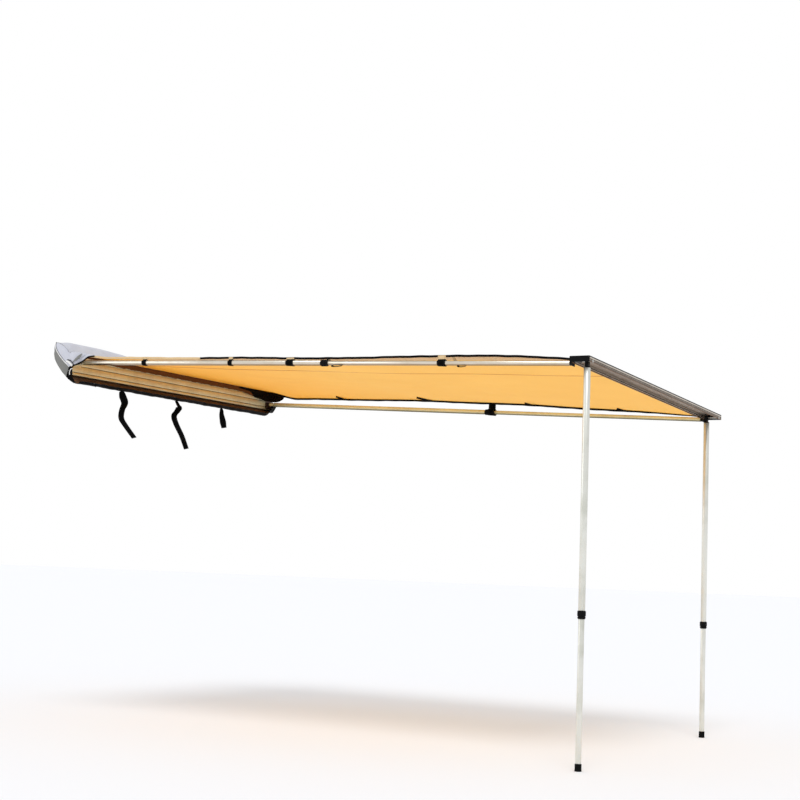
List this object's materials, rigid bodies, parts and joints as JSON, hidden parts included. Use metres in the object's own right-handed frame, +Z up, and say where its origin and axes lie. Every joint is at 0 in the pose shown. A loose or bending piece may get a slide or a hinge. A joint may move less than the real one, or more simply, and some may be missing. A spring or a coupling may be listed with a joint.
{
  "type": "vehicle side awning",
  "caption": "Side awning pulled out from a roof rack: rail with open cover bag, sand canopy, hinged telescopic arms, front beam and folding telescopic legs.",
  "frame": {"origin": "centre of the underside of the middle mounting bracket's foot, where it rests on the roof rack", "axes": "+X away from the vehicle, along the arms; +Y along the vehicle, towards the lower end of the front beam; +Z up"},
  "size_m": [3.2104, 2.011, 2.0816],
  "materials": {
    "champagne_aluminium": "champagne anodised, satin",
    "silver_aluminium": "natural anodised tube",
    "grey_aluminium": "taupe grey anodised, satin",
    "black_plastic": "moulded nylon",
    "nylon": "nylon expander",
    "black_rubber": "moulded rubber",
    "zinc_steel": "zinc plated",
    "black_steel": "black powder coat",
    "black_pvc": "PVC coated fabric",
    "grey_pvc": "silver grey coated fabric",
    "black_webbing": "hook and loop webbing",
    "canvas": "sand coloured ripstop canvas",
    "black_binding": "sewn binding tape",
    "white_cord": "keder cord in welted tape"
  },
  "bodies": {
    "base": {"base_rail": "champagne_aluminium", "rail_end_cap_near": "black_plastic", "rail_end_cap_far": "black_plastic", "mounting_bracket_near": "black_steel", "mounting_bracket_middle": "black_steel", "mounting_bracket_far": "black_steel", "bracket_bolt_near": "zinc_steel", "bracket_bolt_middle": "zinc_steel", "bracket_bolt_far": "zinc_steel", "bracket_nut_near": "zinc_steel", "bracket_nut_middle": "zinc_steel", "bracket_nut_far": "zinc_steel", "bag_back": "black_pvc", "bag_flap": "grey_pvc", "bag_end_near": "grey_pvc", "bag_end_far": "black_pvc", "bag_zip": "black_pvc", "cover_strap_near": "black_webbing", "cover_strap_middle": "black_webbing", "cover_strap_far": "black_webbing", "arm_bracket_near": "champagne_aluminium", "arm_bracket_far": "champagne_aluminium", "arm_pin_near": "zinc_steel", "arm_pin_far": "zinc_steel", "canopy_keder_rail": "white_cord", "canopy_sheet": "canvas", "canopy_hem_near": "black_binding", "canopy_hem_far": "black_binding"},
    "beam": {"front_beam": "grey_aluminium", "beam_end_cap_near": "black_plastic", "beam_end_cap_far": "black_plastic", "leg_pin_near": "zinc_steel", "leg_pin_far": "zinc_steel", "canopy_keder_beam": "white_cord"},
    "slider": {"zip_slider": "zinc_steel"},
    "arm_outer_near": {"arm_hinge_end_near": "silver_aluminium", "arm_outer_tube_near": "silver_aluminium"},
    "arm_lock_near": {"arm_collar_near": "black_plastic"},
    "arm_inner_near": {"arm_inner_tube_near": "silver_aluminium", "arm_twist_lock_near": "nylon", "arm_tip_near": "black_plastic"},
    "arm_outer_far": {"arm_hinge_end_far": "silver_aluminium", "arm_outer_tube_far": "silver_aluminium"},
    "arm_lock_far": {"arm_collar_far": "black_plastic"},
    "arm_inner_far": {"arm_inner_tube_far": "silver_aluminium", "arm_twist_lock_far": "nylon", "arm_tip_far": "black_plastic"},
    "leg_outer_near": {"leg_hinge_end_near": "black_plastic", "leg_outer_tube_near": "silver_aluminium"},
    "leg_lock_near": {"leg_collar_near": "black_plastic"},
    "leg_inner_near": {"leg_inner_tube_near": "silver_aluminium", "leg_twist_lock_near": "nylon", "leg_foot_near": "black_rubber"},
    "leg_outer_far": {"leg_hinge_end_far": "black_plastic", "leg_outer_tube_far": "silver_aluminium"},
    "leg_lock_far": {"leg_collar_far": "black_plastic"},
    "leg_inner_far": {"leg_inner_tube_far": "silver_aluminium", "leg_twist_lock_far": "nylon", "leg_foot_far": "black_rubber"}
  },
  "joints": [
    {"name": "beam_travel", "type": "slide", "parent": "base", "child": "beam", "axis": [-0.9993, 0, 0.0376], "range_m": [0, 1.29], "deforming": ["canopy_sheet", "canopy_hem_near", "canopy_hem_far"]},
    {"name": "arm_swing_near", "type": "hinge", "parent": "base", "child": "arm_outer_near", "pos_m": [0.0893, -0.965, 0.063], "axis": [0.03, 0, 0.9996], "range_deg": [0, 90]},
    {"name": "arm_slide_near", "type": "slide", "parent": "arm_outer_near", "child": "arm_inner_near", "axis": [-0.9996, 0, 0.03], "range_m": [0, 1.29]},
    {"name": "arm_collar_turn_near", "type": "hinge", "parent": "arm_outer_near", "child": "arm_lock_near", "pos_m": [0.0893, -0.965, 0.063], "axis": [0.9996, 0, -0.03], "range_deg": [0, 90]},
    {"name": "arm_swing_far", "type": "hinge", "parent": "base", "child": "arm_outer_far", "pos_m": [0.0893, 0.965, 0.025], "axis": [-0.0453, 0, -0.999], "range_deg": [0, 90]},
    {"name": "arm_slide_far", "type": "slide", "parent": "arm_outer_far", "child": "arm_inner_far", "axis": [-0.999, 0, 0.0453], "range_m": [0, 1.29]},
    {"name": "arm_collar_turn_far", "type": "hinge", "parent": "arm_outer_far", "child": "arm_lock_far", "pos_m": [0.0893, 0.965, 0.025], "axis": [0.999, 0, -0.0453], "range_deg": [0, 90]},
    {"name": "leg_fold_near", "type": "hinge", "parent": "beam", "child": "leg_outer_near", "pos_m": [3.11078, -0.95588, -0.01729], "axis": [1, 0, 0], "range_deg": [0, 87.2]},
    {"name": "leg_slide_near", "type": "slide", "parent": "leg_outer_near", "child": "leg_inner_near", "axis": [0, 0, 1], "range_m": [-0.2, 0.6]},
    {"name": "leg_collar_turn_near", "type": "hinge", "parent": "leg_outer_near", "child": "leg_lock_near", "pos_m": [3.11078, -0.95588, -0.01729], "axis": [0, 0, 1], "range_deg": [0, 90]},
    {"name": "leg_fold_far", "type": "hinge", "parent": "beam", "child": "leg_outer_far", "pos_m": [3.06578, 0.95412, -0.09968], "axis": [-1, 0, 0], "range_deg": [0, 92.15]},
    {"name": "leg_slide_far", "type": "slide", "parent": "leg_outer_far", "child": "leg_inner_far", "axis": [0, 0, 1], "range_m": [-0.27, 0.53]},
    {"name": "leg_collar_turn_far", "type": "hinge", "parent": "leg_outer_far", "child": "leg_lock_far", "pos_m": [3.06578, 0.95412, -0.09968], "axis": [0, 0, 1], "range_deg": [0, 90]},
    {"name": "zip_slide", "type": "slide", "parent": "base", "child": "slider", "axis": [0, 1, 0], "range_m": [-0.08, 1.74]}
  ],
  "couplings": [
    {"joint": "arm_slide_near", "follows": "beam_travel", "ratio": 1},
    {"joint": "arm_slide_far", "follows": "beam_travel", "ratio": 1}
  ]
}
